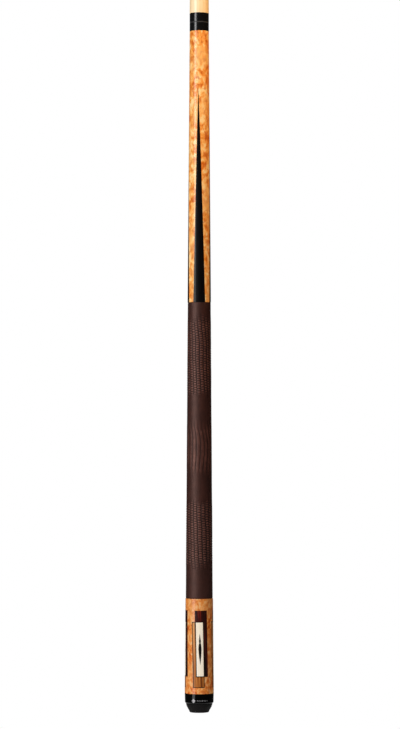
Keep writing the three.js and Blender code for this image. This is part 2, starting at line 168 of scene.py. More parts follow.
FLOOR_RADIUS = 0.38
FLOOR_DROP = 0.09
floor_mesh = bpy.data.meshes.new("floor")
shape = bmesh.new()
bmesh.ops.create_circle(shape, cap_ends=True, segments=96, radius=FLOOR_RADIUS,
                        matrix=Matrix.Translation((0, 0, bumper_foot.z - FLOOR_DROP)))
shape.to_mesh(floor_mesh)
shape.free()
floor = put("floor", floor_mesh)
paper = bpy.data.materials.new("pale_paper")
paper.use_nodes = True
paper.node_tree.nodes["Principled BSDF"].inputs["Base Color"].default_value = (0.9, 0.9, 0.9, 1)
paper.node_tree.nodes["Principled BSDF"].inputs["Roughness"].default_value = 0.9
floor_mesh.materials.append(paper)


# ---------------------------------------------------------------- handle core and its steel
# The turned maple dowel under the wrap and sleeve, the steel screw that draws the forearm onto it, and
# the steel bolt that weights its other end. All three are buried in the cue and keep their CAD shape.
def colour(red, green, blue):
    """The linear colour of three 0-255 screen values."""
    def linear(value):
        share = value / 255
        return share / 12.92 if share <= 0.04045 else ((share + 0.055) / 1.055) ** 2.4
    return (linear(red), linear(green), linear(blue), 1.0)


def finish(name, **sockets):
    """A new material and a Wire to write it with. Constants go straight on the shader's sockets."""
    material = bpy.data.materials.new(name)
    material.use_nodes = True
    shader = material.node_tree.nodes["Principled BSDF"]
    for socket, value in sockets.items():
        shader.inputs[socket.replace("_", " ")].default_value = value
    return material, Wire(material.node_tree)


def feed(material, **wires):
    """Joins wires to the sockets of a material's shader."""
    shader = material.node_tree.nodes["Principled BSDF"]
    for socket, wire in wires.items():
        material.node_tree.links.new(wire.socket, shader.inputs[socket.replace("_", " ")])


def place_in(pen, stretch=(1, 1, 1)):
    """Object coordinates, stretched."""
    at = pen.node("ShaderNodeTexCoord", output="Object")
    return pen.node("ShaderNodeVectorMath", {"operation": "MULTIPLY"}, {0: at, 1: stretch})


def cloud(pen, at, scale, detail=2.0, roughness=0.5):
    """Soft noise from 0 to 1. A scale of 100 makes spots 10 mm across."""
    return pen.node("ShaderNodeTexNoise", {}, {
        "Vector": at, "Scale": scale, "Detail": detail, "Roughness": roughness}, "Fac")


def ramp(pen, share, *stops):
    """The colour at a share along a row of (place, colour) stops."""
    return pen.node("ShaderNodeValToRGB", {"stops": stops}, {"Fac": share})


def tinted(pen, share, low, high, mode="MIX"):
    """Mixes two colours, either of which may be a wire."""
    return pen.node("ShaderNodeMix", {"data_type": "RGBA", "blend_type": mode},
                    {0: share, 6: low, 7: high}, 2)


def band(pen, value, low, high, bottom=0.0, top=1.0):
    """A smooth step from bottom to top as the value goes from low to high."""
    return pen.node("ShaderNodeMapRange", {"interpolation_type": "SMOOTHSTEP"}, {
        "Value": value, "From Min": low, "From Max": high, "To Min": bottom, "To Max": top}, "Result")


def bump(pen, height, depth):
    """A surface normal from a height pattern that is depth metres deep."""
    return pen.node("ShaderNodeBump", {}, {"Height": height, "Distance": depth}, "Normal")


def refinish(material, *names):
    """Gives CAD nodes that stay in view a finish of their own."""
    for name in names:
        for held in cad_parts[name].material_slots:
            held.material = material


core_maple, pen = finish("core_maple", Roughness=0.55)
grain = cloud(pen, place_in(pen, (1, 1, 0.04)), 900, 3.0)
feed(core_maple, Base_Color=ramp(pen, grain, (0.35, colour(206, 164, 112)), (0.65, colour(231, 198, 150))),
     Normal=bump(pen, grain, 0.0001))
refinish(core_maple, "handle_core")

steel, pen = finish("turned_steel", Metallic=1.0)
lay = cloud(pen, place_in(pen, (1, 1, 6)), 700, 2.0)
feed(steel, Base_Color=ramp(pen, lay, (0.3, colour(160, 162, 165)), (0.7, colour(200, 202, 205))),
     Roughness=band(pen, lay, 0.3, 0.7, 0.22, 0.38), Normal=bump(pen, lay, 0.00003))
refinish(steel, "connecting_screw", "weight_bolt")


# ---------------------------------------------------------------- forearm
# Figured maple turned to a taper, with four V-shaped grooves for the points, a tenon for the joint
# collar and a bore for the joint pin. It is finished in gloss lacquer.
POINT_TIP = 0.677
POINT_APEX = 0.0045
POINT_DRIFT = -0.0011
PLAIN_FROM = 0.68
TENON_RADIUS = 0.0078
TENON_LEAD = 0.0003
PIN_BORE = 0.00495
GLUE_GAP = 0.0001
QUARTER = math.pi / 2

wood_low, wood_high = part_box("forearm")
collar_low, collar_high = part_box("butt_collar")
pin_low, pin_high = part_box("joint_pin")
FOREARM_FOOT = wood_low.z
FOREARM_TOP = collar_low.z - GLUE_GAP
FOOT_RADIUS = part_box("forearm_point_2")[1].x
TOP_RADIUS = collar_high.x


def forearm_radius(z):
    return FOOT_RADIUS + (TOP_RADIUS - FOOT_RADIUS) * (z - FOREARM_FOOT) / (FOREARM_TOP - FOREARM_FOOT)


def groove(z):
    """A groove's left and right edges, as bearings from the front, and the x and -y of its bottom edge."""
    radius = forearm_radius(z)
    share = (z - FOREARM_FOOT) / (POINT_TIP - FOREARM_FOOT)
    drift = POINT_DRIFT * share
    apex = POINT_APEX + (forearm_radius(POINT_TIP) - POINT_APEX) * share
    surface = math.sqrt(radius ** 2 - drift ** 2)
    if apex >= surface:
        bearing = math.asin(POINT_DRIFT / radius)
        return bearing, bearing, radius * math.sin(bearing), radius * math.cos(bearing)
    right = math.acos((apex - drift) / (radius * math.sqrt(2))) - math.pi / 4
    left = math.pi / 4 - math.acos((apex + drift) / (radius * math.sqrt(2)))
    return left, right, drift, apex


def on_ring(radius, bearing, z):
    """A point on a ring, by its bearing from the front (-Y) towards +X."""
    return Vector((radius * math.sin(bearing), -radius * math.cos(bearing), z))


def smooth(mesh, sharp):
    """Smooths a mesh's shading, except where it bends by more than sharp degrees."""
    mesh.shade_smooth()
    mesh.set_sharp_from_angle(angle=math.radians(sharp))


def mesh_of(name, shape):
    """The mesh of a finished bmesh, with its faces outward."""
    bmesh.ops.recalc_face_normals(shape, faces=shape.faces)
    mesh = bpy.data.meshes.new(name)
    shape.to_mesh(mesh)
    shape.free()
    return mesh


def closed(name, rings):
    """A closed piece from rings of equal length, from its foot up the outside. End rings are filled."""
    shape = bmesh.new()
    rows = [[shape.verts.new(spot) for spot in ring] for ring in rings]
    for lower, upper in zip(rows, rows[1:]):
        for i, corner in enumerate(lower):
            nxt = (i + 1) % len(lower)
            shape.faces.new((corner, lower[nxt], upper[nxt], upper[i]))
    shape.faces.new(rows[0][::-1])
    shape.faces.new(rows[-1])
    bmesh.ops.remove_doubles(shape, verts=shape.verts, dist=2e-7)
    mesh = mesh_of(name, shape)
    smooth(mesh, 35)
    return put(name, mesh)


def wood_ring(z):
    """One section of the forearm: four arcs of wood and the bottoms of four grooves."""
    left, right, drift, apex = groove(z)
    steps = 14
    radius = forearm_radius(z)
    ring = []
    for quarter in range(4):
        turn = Matrix.Rotation(quarter * QUARTER, 3, "Z")
        ring.append(turn @ Vector((drift, -apex, z)))
        for i in range(steps + 1):
            bearing = right + (QUARTER + left - right) * i / steps
            ring.append(turn @ on_ring(radius, bearing, z))
    return ring


def plain_ring(like, radius, z):
    """A round section with the same bearings as another ring's corners."""
    return [Vector((spot.x, spot.y, 0)).normalized() * radius + Vector((0, 0, z)) for spot in like]


heights = [FOREARM_FOOT + (POINT_TIP - 0.0035 - FOREARM_FOOT) * i / 60 for i in range(61)]
heights += [POINT_TIP - below for below in (0.0030, 0.0027, 0.0025, 0.0023, 0.0021, 0.0018, 0.0014)]
heights += [PLAIN_FROM, FOREARM_TOP]
forearm_rings = [wood_ring(z) for z in heights]
rim = forearm_rings[-1]
tenon_top = wood_high.z
for radius, z in ((TENON_RADIUS, FOREARM_TOP), (TENON_RADIUS, tenon_top - TENON_LEAD),
                  (TENON_RADIUS - TENON_LEAD, tenon_top), (PIN_BORE, tenon_top),
                  (PIN_BORE, pin_low.z - 0.001)):
    forearm_rings.append(plain_ring(rim, radius, z))
forearm = closed("forearm_wood", forearm_rings)


def figured_maple(name, warmth, scale):
    """Gold and orange mottled maple under gloss lacquer. Warmth darkens it from 0 to 1."""
    material, pen = finish(name, Roughness=0.4, Specular_IOR_Level=0.3,
                           Coat_Weight=0.45, Coat_Roughness=0.17)
    at = place_in(pen, (1, 1, 0.75))
    drift = cloud(pen, at, 60, 2.0)
    bent = pen.node("ShaderNodeVectorMath", {"operation": "MULTIPLY_ADD"}, {
        0: pen.node("ShaderNodeTexNoise", {}, {"Vector": at, "Scale": 110.0, "Detail": 1.0}, "Color"),
        1: (0.008, 0.008, 0.008), 2: at})
    mottle = cloud(pen, bent, scale, 3.0, 0.55)
    wood = ramp(pen, mottle,
                (0.36, colour(212, 108, 28)), (0.46, colour(240, 150, 60)),
                (0.54, colour(250, 180, 96)), (0.64, colour(255, 216, 152)))
    flecks = band(pen, cloud(pen, place_in(pen, (1, 1, 0.6)), 300, 1.5), 0.57, 0.68)
    wood = tinted(pen, flecks * 0.65, wood, colour(198, 84, 18))
    wood = tinted(pen, band(pen, drift, 0.42, 0.66, 0.0, 0.5), wood, colour(252, 196, 120))
    wood = tinted(pen, warmth, wood, colour(196, 122, 62), "MULTIPLY")
    feed(material, Base_Color=wood, Normal=bump(pen, mottle, 0.00006))
    return material


forearm.data.materials.append(figured_maple("figured_maple", 0.0, 190))
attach(forearm, "butt")
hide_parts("forearm")


# ---------------------------------------------------------------- forearm points
# Four black prongs glued into the grooves and turned flush with the maple, so that each shows as a
# long narrow triangle. One is built, and quarter turns make the rest.
def grown(name, tree, values, source=None):
    """Runs a Geometry Nodes tree with its named inputs and keeps the result as a plain mesh."""
    piece = put(name, source or bpy.data.meshes.new(name))
    step = piece.modifiers.new("grow", "NODES")
    step.node_group = tree
    for item in tree.interface.items_tree:
        if item.name in values:
            step[item.identifier] = values[item.name]
    graph = bpy.context.evaluated_depsgraph_get()
    mesh = bpy.data.meshes.new_from_object(
        piece.evaluated_get(graph), preserve_all_data_layers=True, depsgraph=graph)
    piece.modifiers.clear()
    piece.data = mesh
    mesh.name = name
    return piece


def tree_with(name, **sockets):
    """A Geometry Nodes tree with named inputs, and a Wire to write it with."""
    tree = bpy.data.node_groups.new(name, "GeometryNodeTree")
    tree.interface.new_socket("Geometry", in_out="INPUT", socket_type="NodeSocketGeometry")
    tree.interface.new_socket("Geometry", in_out="OUTPUT", socket_type="NodeSocketGeometry")
    for socket, kind in sockets.items():
        tree.interface.new_socket(socket.replace("_", " "), in_out="INPUT", socket_type="NodeSocket" + kind)
    return tree, Wire(tree)


def close_tree(pen, shape, material):
    """Realizes what a tree has made, gives it its material and sends it out."""
    real = pen.node("GeometryNodeRealizeInstances", {}, {0: shape})
    done = pen.node("GeometryNodeSetMaterial", {}, {"Geometry": real, "Material": material})
    pen.node("NodeGroupOutput", {}, {"Geometry": done})


copies, pen = tree_with("turned_copies", Count="Int", First_Angle="Float", Step_Angle="Float",
                        Finish="Material")
given = pen.node("NodeGroupInput")
angle = (pen.node("NodeGroupInput", output="First Angle")
         + pen.node("GeometryNodeInputIndex") * pen.node("NodeGroupInput", output="Step Angle"))
turn = pen.node("FunctionNodeEulerToRotation", {}, {0: pen.node("ShaderNodeCombineXYZ", {}, {"Z": angle})})
seats = pen.node("GeometryNodePoints", {}, {"Count": pen.node("NodeGroupInput", output="Count")})
close_tree(pen, pen.node("GeometryNodeInstanceOnPoints", {}, {
    "Points": seats, "Instance": given, "Rotation": turn}), pen.node("NodeGroupInput", output="Finish"))


def quarter_turned(piece, name, finish_used):
    """Four copies of a piece, a quarter turn apart. The piece itself is used up."""
    ring = grown(name, copies, {
        "Count": 4, "First Angle": 0.0, "Step Angle": QUARTER, "Finish": finish_used}, piece.data)
    bpy.data.objects.remove(piece)
    smooth(ring.data, 35)
    return ring


def point_ring(z):
    """One section of a point: its bottom edge, then the arc that shows."""
    left, right, drift, apex = groove(z)
    arc = [on_ring(forearm_radius(z), left + (right - left) * i / 12, z) for i in range(13)]
    return [Vector((drift, -apex, z))] + arc


black_wood, pen = finish("black_wood", Roughness=0.4, Specular_IOR_Level=0.1,
                         Coat_Weight=0.25, Coat_Roughness=0.1)
pores = cloud(pen, place_in(pen, (1, 1, 0.06)), 1500, 2.0)
feed(black_wood, Base_Color=ramp(pen, pores, (0.35, colour(4, 3, 3)), (0.75, colour(14, 11, 11))),
     Normal=bump(pen, pores, 0.00004))
prong = closed("prong", [point_ring(z) for z in heights[:-2]])
points = quarter_turned(prong, "forearm_points", black_wood)
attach(points, "butt")
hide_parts(*(f"forearm_point_{i}" for i in range(1, 5)))


# ---------------------------------------------------------------- joint pin and butt collar
# The 3/8-10 steel screw glued in the forearm, which the shaft winds down on, and the black phenolic
# ring round the joint, with a thin pale grey painted highlight at its edge. The pin's thread keeps step
# with the insert.
threaded, pen = tree_with("threaded_rod", Root="Float", Crest="Float", Pitch="Float", Foot="Float",
                          Top="Float", Zero="Float", Sides="Int", Rows="Int", Finish="Material")


def entry(name):
    """One named input of the tree that is being written."""
    return pen.node("NodeGroupInput", output=name)


def unrolled():
    """A flat unit sheet to roll up, the shares around and along it, and the share that one row takes."""
    flat = pen.node("GeometryNodeInputPosition")
    return (
        pen.node("GeometryNodeMeshGrid", {}, {
            "Size X": 1.0, "Size Y": 1.0, "Vertices X": entry("Sides") + 1, "Vertices Y": entry("Rows")}),
        pen.node("ShaderNodeSeparateXYZ", {}, {0: flat}, "X") + 0.5,
        pen.node("ShaderNodeSeparateXYZ", {}, {0: flat}, "Y") + 0.5,
        1 / (entry("Rows") - 1))


sheet, around, along, row_step = unrolled()
row = pen.node("ShaderNodeMapRange", {}, {
    "Value": along, "From Min": row_step, "From Max": 1 - row_step,
    "To Min": entry("Foot"), "To Max": entry("Top")}, "Result")
phase = (row - entry("Zero")) / entry("Pitch") - around
off_crest = pen.math("ABSOLUTE", phase - pen.math("ROUND", phase))
ridge = pen.node("ShaderNodeMapRange", {}, {
    "Value": off_crest, "From Min": 0.14, "From Max": 0.36, "To Min": 1.0, "To Max": 0.0}, "Result")
flank = entry("Root") + (entry("Crest") - entry("Root")) * ridge
lead_in = entry("Root") * 0.75 + (entry("Top") - row)
inside = (pen.math("GREATER_THAN", along, row_step * 0.5)
          * pen.math("LESS_THAN", along, 1 - row_step * 0.5))
radius = pen.math("MINIMUM", flank, lead_in) * inside
wound = pen.node("GeometryNodeSetPosition", {}, {"Geometry": sheet, "Position": pen.node(
    "ShaderNodeCombineXYZ", {}, {
        "X": radius * pen.math("COSINE", around * (2 * math.pi)),
        "Y": radius * pen.math("SINE", around * (2 * math.pi)), "Z": row})})
close_tree(pen, pen.node("GeometryNodeMergeByDistance", {}, {"Geometry": wound, "Distance": 1e-6}),
           entry("Finish"))


def rod(name, root, crest, pitch, foot, top, zero):
    """A steel screw. Its thread's crest crosses +X at the height zero."""
    rows_a_turn = 14
    rows = round((top - foot) / pitch * rows_a_turn) + 3
    made = grown(name, threaded, {"Root": root, "Crest": crest, "Pitch": pitch, "Foot": foot, "Top": top,
                                  "Zero": zero, "Sides": 40, "Rows": rows, "Finish": steel})
    smooth(made.data, 50)
    return made


PIN_ROOT = 0.00385
PIN_CREST = 0.00476
PIN_PITCH = 0.00254
joint_face = collar_high.z
pin = rod("joint_pin_screw", PIN_ROOT, PIN_CREST, PIN_PITCH, pin_low.z, pin_high.z, joint_face)
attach(pin, "butt")
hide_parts("joint_pin")


def turned(name, outline, sides=96, sharp=35):
    """A closed piece of revolution from [radius, height] pairs, up the outside and back down the bore."""
    shape = bmesh.new()
    rows = []
    for radius, z in outline:
        rows.append([shape.verts.new(on_ring(radius, 2 * math.pi * i / sides, z)) for i in range(sides)])
    for lower, upper in zip(rows, rows[1:] + rows[:1]):
        for i in range(sides):
            nxt = (i + 1) % sides
            shape.faces.new((lower[i], lower[nxt], upper[nxt], upper[i]))
    bmesh.ops.remove_doubles(shape, verts=shape.verts, dist=1e-7)
    mesh = mesh_of(name, shape)
    smooth(mesh, sharp)
    return put(name, mesh)


black_phenolic, pen = finish("black_phenolic", Roughness=0.14, Specular_IOR_Level=0.45)
polish = cloud(pen, place_in(pen, (1, 1, 5)), 500, 3.0)
level = pen.node("ShaderNodeSeparateXYZ", {}, {0: place_in(pen)}, "Z")
off_joint = pen.math("ABSOLUTE", level - joint_face)
# A thin pale grey band is painted on both collars at the joint: a painted highlight for light caught on the
# eased edges.
wear_and_painted_highlight = band(pen, off_joint, 0.0003, 0.0006, 1.0, 0.0)
black = ramp(pen, polish, (0.3, colour(9, 9, 9)), (0.7, colour(17, 17, 17)))
feed(black_phenolic, Base_Color=tinted(pen, wear_and_painted_highlight, black, colour(70, 69, 68)),
     Roughness=band(pen, polish, 0.3, 0.7, 0.17, 0.21))

# The edges at the joint are eased, and a plain ring beside each keeps the wall's shading straight.
EDGE = 0.0003
EASED = EDGE * 0.35
BESIDE = 0.0002
COLLAR_BORE = 0.00805
butt_collar = turned("butt_collar_ring", [
    (COLLAR_BORE, collar_low.z), (TOP_RADIUS - 0.00005, collar_low.z), (TOP_RADIUS, collar_low.z + 0.0001),
    (TOP_RADIUS, collar_low.z + 0.0003), (TOP_RADIUS, joint_face - EDGE - BESIDE),
    (TOP_RADIUS, joint_face - EDGE), (TOP_RADIUS - EASED, joint_face - EASED),
    (TOP_RADIUS - EDGE, joint_face), (COLLAR_BORE, joint_face)], sharp=50)
butt_collar.data.materials.append(black_phenolic)
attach(butt_collar, "butt")
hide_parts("butt_collar")


# ---------------------------------------------------------------- wrap
# One sheet of dark brown leather, embossed like lizard skin: columns of small scales in two bands,
# wavy strands between them, and smooth hide elsewhere, with painted shade darkening the creases. It
# is glued round the core, edges pressed in.
hide_low, hide_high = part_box("wrap")
HIDE_FOOT_RADIUS = hide_high.x
HIDE_TOP_RADIUS = FOOT_RADIUS - 0.0001
HIDE_MIDDLE_RADIUS = 0.0135
COLUMN_LEAN = 9.0
SWAY_FROM = 0.2518
SWAY_LENGTH = 0.078
SWAY_COLUMNS = 0.45

wrapping, pen = tree_with("leather_wrap", Foot="Float", Top="Float", Foot_Radius="Float",
                          Top_Radius="Float", Thickness="Float", Relief="Float", Columns="Int",
                          Scale_Length="Float", Sides="Int", Rows="Int", Seed="Float", Finish="Material")
sheet, around, along, row_step = unrolled()
share = pen.node("ShaderNodeMapRange", {}, {
    "Value": along, "From Min": row_step, "From Max": 1 - 3 * row_step,
    "To Min": 0.0, "To Max": 1.0}, "Result")
height = entry("Foot") + (entry("Top") - entry("Foot")) * share
outside = (pen.math("GREATER_THAN", along, row_step * 0.5)
           * pen.math("LESS_THAN", along, 1 - row_step * 2.5))
returning = pen.math("GREATER_THAN", along, 1 - row_step * 0.5)
outer = entry("Foot Radius") + (entry("Top Radius") - entry("Foot Radius")) * share

turn_x = pen.math("COSINE", around * (2 * math.pi))
turn_y = pen.math("SINE", around * (2 * math.pi))
skin = pen.node("ShaderNodeCombineXYZ", {}, {
    "X": turn_x * HIDE_MIDDLE_RADIUS, "Y": turn_y * HIDE_MIDDLE_RADIUS + entry("Seed"), "Z": height})


def blotch(scale, detail=1.0, squash=1.0):
    """Soft noise over the hide, from 0 to 1."""
    spread = pen.node("ShaderNodeVectorMath", {"operation": "MULTIPLY"}, {0: skin, 1: (1, 1, squash)})
    return pen.node("ShaderNodeTexNoise", {}, {"Vector": spread, "Scale": scale, "Detail": detail}, "Fac")


wobble = height + (blotch(45.0) - 0.5) * 0.028


def zone(low, high, soft):
    """1 between two heights, fading over a soft edge."""
    return band(pen, wobble, low - soft, low + soft) * band(pen, wobble, high - soft, high + soft, 1.0, 0.0)


upper_scales = zone(0.350, 0.424, 0.006)
lower_scales = zone(0.158, 0.226, 0.006)
strands = zone(0.258, 0.312, 0.010)
sway = pen.math("COSINE", (height - SWAY_FROM) * (2 * math.pi / SWAY_LENGTH)) * strands * SWAY_COLUMNS
column = around * entry("Columns") + height * COLUMN_LEAN + sway + (blotch(28.0) - 0.5) * 1.1
across = pen.math("ABSOLUTE", column - pen.math("ROUND", column)) * 2
crease = band(pen, across, 0.62, 1.0)
order = pen.math("FRACT", pen.math("ROUND", column) * 0.37)
link = height / entry("Scale Length") + order + across * across * 0.18 + (blotch(60.0) - 0.5) * 0.9
step_along = pen.math("ABSOLUTE", link - pen.math("ROUND", link)) * 2
notch = band(pen, step_along, 0.35, 1.0)
scales = pen.math("MAXIMUM", crease, notch * 0.75)
scaled = upper_scales + lower_scales
pressed = scaled * (scales - 0.34) + strands * (crease - 0.3) * 0.6
hide_grain = (blotch(420.0, 3.0, 0.6) - 0.5) * 0.5 + (blotch(130.0, 2.0, 0.35) - 0.5) * 0.35
hollow = pen.math("MINIMUM", pen.math("MAXIMUM", pressed + hide_grain * 0.5 + 0.34, 0.0), 1.0)
near_edge = pen.math("MINIMUM", height - entry("Foot"), entry("Top") - height)
rolled = band(pen, near_edge, 0.0, 0.0008, 0.00035, 0.0)
surface = outer - hollow * entry("Relief") - rolled
inner = outer - entry("Thickness")
radius = inner + (surface - inner) * outside
level = height + (entry("Foot") - height) * returning
marked = pen.node("GeometryNodeStoreNamedAttribute", {"data_type": "FLOAT", "domain": "POINT"}, {
    "Geometry": sheet, "Name": "hollow", "Value": hollow})
wrapped = pen.node("GeometryNodeSetPosition", {}, {"Geometry": marked, "Position": pen.node(
    "ShaderNodeCombineXYZ", {}, {"X": radius * turn_x, "Y": radius * turn_y, "Z": level})})
close_tree(pen, pen.node("GeometryNodeMergeByDistance", {}, {"Geometry": wrapped, "Distance": 1e-6}),
           entry("Finish"))

wrap_leather, pen = finish("wrap_leather", Roughness=0.5, Specular_IOR_Level=0.65,
                           Specular_Tint=(1, 0.64, 0.56, 1))
depth = pen.node("ShaderNodeAttribute", {"attribute_name": "hollow"}, {}, "Fac")
mottle = cloud(pen, place_in(pen, (1, 1, 0.6)), 160, 3.0)
# The hide's colour darkens with the emboss's depth, to near black in the creases: painted shade in the
# hollows.
hide = ramp(pen, depth, (0.05, colour(102, 64, 55)), (0.22, colour(61, 33, 27)), (0.42, colour(43, 19, 14)),
            (0.80, colour(9, 4, 3)))
hide = tinted(pen, band(pen, mottle, 0.35, 0.65, 0.0, 0.35), hide, colour(24, 10, 7))
pebble = cloud(pen, place_in(pen, (1, 1, 0.7)), 1600, 3.0)
feed(wrap_leather, Base_Color=hide, Roughness=band(pen, depth, 0.1, 0.8, 0.46, 0.66),
     Normal=bump(pen, pebble, 0.00015))
wrap = grown("leather_wrap", wrapping, {
    "Foot": hide_low.z, "Top": hide_high.z, "Foot Radius": HIDE_FOOT_RADIUS, "Top Radius": HIDE_TOP_RADIUS,
    "Thickness": 0.001, "Relief": 0.0005, "Columns": 20, "Scale Length": 0.0026,
    "Sides": 140, "Rows": 620, "Seed": 0.0, "Finish": wrap_leather})
smooth(wrap.data, 60)
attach(wrap, "butt")
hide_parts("wrap")


# ---------------------------------------------------------------- butt sleeve
# A tapered tube of the same figured maple, glued on the core's tenon. Four stepped pockets are cut in
# it, square to its face, for the inlaid windows.
sleeve_low, sleeve_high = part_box("butt_sleeve")
SLEEVE_BORE = 0.00825
WINDOW_LEAN = math.radians(-1.05)
WINDOW_CENTRE = 0.0683
WINDOW_FLOOR = 0.011
LINE = 0.0008
INNER_LINE = 0.001
ROSEWOOD = (-0.0042, 0.0089, 0.0391, 0.1107)
VENEER = (-0.0075, 0.0052, 0.0275, 0.0988)
IVORY = (-0.0031, 0.0044, 0.0400, 0.0980)
STRIP_RIGHT = IVORY[0] - INNER_LINE
STRIPED = (VENEER[0] + LINE, IVORY[1], VENEER[2] + LINE, IVORY[2] - INNER_LINE)


def sleeve_outline(bore):
    """The sleeve's section as [radius, height] pairs. A zero bore gives a solid blank."""
    return [(bore, sleeve_low.z), (sleeve_high.x, sleeve_low.z),
            (HIDE_FOOT_RADIUS + 0.0002, sleeve_high.z), (bore, sleeve_high.z)]


def box_outline(box):
    """The corners of a left, right, bottom, top rectangle."""
    left, right, bottom, top = box
    return [(left, bottom), (right, bottom), (right, top), (left, top)]


def die(outline, floor):
    """A cutter with a flat outline, seen from the front, that reaches in to a flat floor."""
    shape = bmesh.new()
    lean = Matrix.Rotation(WINDOW_LEAN, 4, "Y")
    centre = Vector((0, 0, WINDOW_CENTRE))
    ends = []
    for y in (-0.02, -floor):
        ends.append([shape.verts.new(lean @ Vector((x, y, up - WINDOW_CENTRE)) + centre)
                     for x, up in outline])
    front, back = ends
    shape.faces.new(front)
    shape.faces.new(back[::-1])
    for i in range(len(front)):
        nxt = (i + 1) % len(front)
        shape.faces.new((front[nxt], front[i], back[i], back[nxt]))
    return put("die", mesh_of("die", shape))


def cut(piece, tool, how="DIFFERENCE"):
    """Cuts a piece with a die and throws the die away."""
    step = piece.modifiers.new("cut", "BOOLEAN")
    step.operation = how
    step.solver = "EXACT"
    step.object = tool
    graph = bpy.context.evaluated_depsgraph_get()
    mesh = bpy.data.meshes.new_from_object(piece.evaluated_get(graph))
    piece.modifiers.clear()
    piece.data = mesh
    bpy.data.objects.remove(tool)


butt_sleeve = turned("butt_sleeve_wood", sleeve_outline(SLEEVE_BORE), sides=240)
pocket = die(box_outline(ROSEWOOD), WINDOW_FLOOR)
cut(pocket, die(box_outline(VENEER), WINDOW_FLOOR), "UNION")
pockets = quarter_turned(pocket, "pockets", None)
cut(butt_sleeve, pockets)
smooth(butt_sleeve.data, 35)
butt_sleeve.data.materials.clear()
butt_sleeve.data.materials.append(figured_maple("figured_maple_sleeve", 0.45, 260))
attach(butt_sleeve, "butt")
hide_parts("butt_sleeve")


# ---------------------------------------------------------------- window inlays
# Each window is two overlapping rectangles: rosewood above right, and striped wood in a thin black
# veneer below left. An ivory resin plate with a black spear lies where they cross. All are flush.
def inlaid(outline, *hollows):
    """A plug with a flat outline whose top follows the sleeve, less any hollows."""
    plug = turned("blank", sleeve_outline(0.0), sides=240)
    cut(plug, die(outline, WINDOW_FLOOR), "INTERSECT")
    for hollow_outline in hollows:
        cut(plug, die(hollow_outline, WINDOW_FLOOR - 0.001))
    return plug


def set_in(plug, name, node, finish_used):
    """Stores a plug's own coordinates for its grain, turns it into four, and fixes them on the butt."""
    lean = Matrix.Rotation(-WINDOW_LEAN, 3, "Y")
    mark = plug.data.attributes.new("inlay", "FLOAT_VECTOR", "POINT")
    for spot, corner in zip(mark.data, plug.data.vertices):
        spot.vector = lean @ (corner.co - Vector((0, 0, WINDOW_CENTRE)))
    ring = quarter_turned(plug, name, finish_used)
    ring.data.materials.clear()
    ring.data.materials.append(finish_used)
    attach(ring, "butt")
    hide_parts(*(f"{node}_{i}" for i in range(1, 5)))


def inlay_place(pen, stretch):
    """The plug's own coordinates: across, in, and up from the window's middle."""
    at = pen.node("ShaderNodeAttribute", {"attribute_name": "inlay"}, {}, "Vector")
    return pen.node("ShaderNodeVectorMath", {"operation": "MULTIPLY"}, {0: at, 1: stretch})


rosewood, pen = finish("rosewood", Roughness=0.4, Specular_IOR_Level=0.2,
                       Coat_Weight=0.2, Coat_Roughness=0.12)
slanted = pen.node("ShaderNodeMapping", {}, {
    "Vector": inlay_place(pen, (1, 1, 1)), "Rotation": (0, math.radians(-9), 0), "Scale": (1, 1, 0.06)})
streak = cloud(pen, slanted, 330, 2.0, 0.5)
fine = cloud(pen, slanted, 1500, 2.0)
red = ramp(pen, streak, (0.36, colour(22, 8, 6)), (0.50, colour(58, 17, 12)), (0.60, colour(92, 24, 14)),
           (0.68, colour(172, 40, 22)))
feed(rosewood, Base_Color=tinted(pen, band(pen, fine, 0.5, 0.7, 0.0, 0.6), red, colour(20, 6, 5)),
     Normal=bump(pen, fine, 0.00004))
set_in(inlaid(box_outline(ROSEWOOD), box_outline(VENEER)), "rosewood_inlays", "rosewood_inlay", rosewood)

dyed_veneer, pen = finish("dyed_veneer", Roughness=0.45, Specular_IOR_Level=0.15,
                          Coat_Weight=0.1, Coat_Roughness=0.2)
fibre_lines = cloud(pen, inlay_place(pen, (1, 1, 0.1)), 1100, 2.0)
feed(dyed_veneer, Base_Color=ramp(pen, fibre_lines, (0.35, colour(10, 5, 3)), (0.7, colour(30, 18, 10))),
     Normal=bump(pen, fibre_lines, 0.00003))
STRIPED_L = [(STRIPED[0], STRIPED[2]), (STRIPED[1], STRIPED[2]), (STRIPED[1], STRIPED[3]),
             (STRIP_RIGHT, STRIPED[3]), (STRIP_RIGHT, IVORY[3]), (STRIPED[0], IVORY[3])]
set_in(inlaid(box_outline(VENEER), STRIPED_L, box_outline(IVORY)), "veneer_lines", "veneer_line",
       dyed_veneer)

striped_wood, pen = finish("striped_wood", Roughness=0.45, Specular_IOR_Level=0.2,
                           Coat_Weight=0.12, Coat_Roughness=0.2)
stripe = cloud(pen, inlay_place(pen, (1, 1, 0.02)), 620, 1.5, 0.6)
fine = cloud(pen, inlay_place(pen, (1, 1, 0.08)), 1700, 2.0)
banded = ramp(pen, stripe, (0.40, colour(84, 38, 6)), (0.49, colour(160, 90, 32)),
              (0.58, colour(196, 124, 56)), (0.70, colour(222, 156, 84)))
rise = pen.node("ShaderNodeSeparateXYZ", {}, {0: inlay_place(pen, (1, 1, 1))}, "Z")
# The strip is painted lighter towards tan the higher it runs: painted light on its upright part.
painted_light_upward = band(pen, rise, -0.03, 0.03, 0.0, 0.45)
feed(striped_wood, Base_Color=tinted(pen, painted_light_upward, banded, colour(214, 148, 82)),
     Normal=bump(pen, fine, 0.00004))
set_in(inlaid(STRIPED_L), "striped_inlays", "striped_inlay", striped_wood)

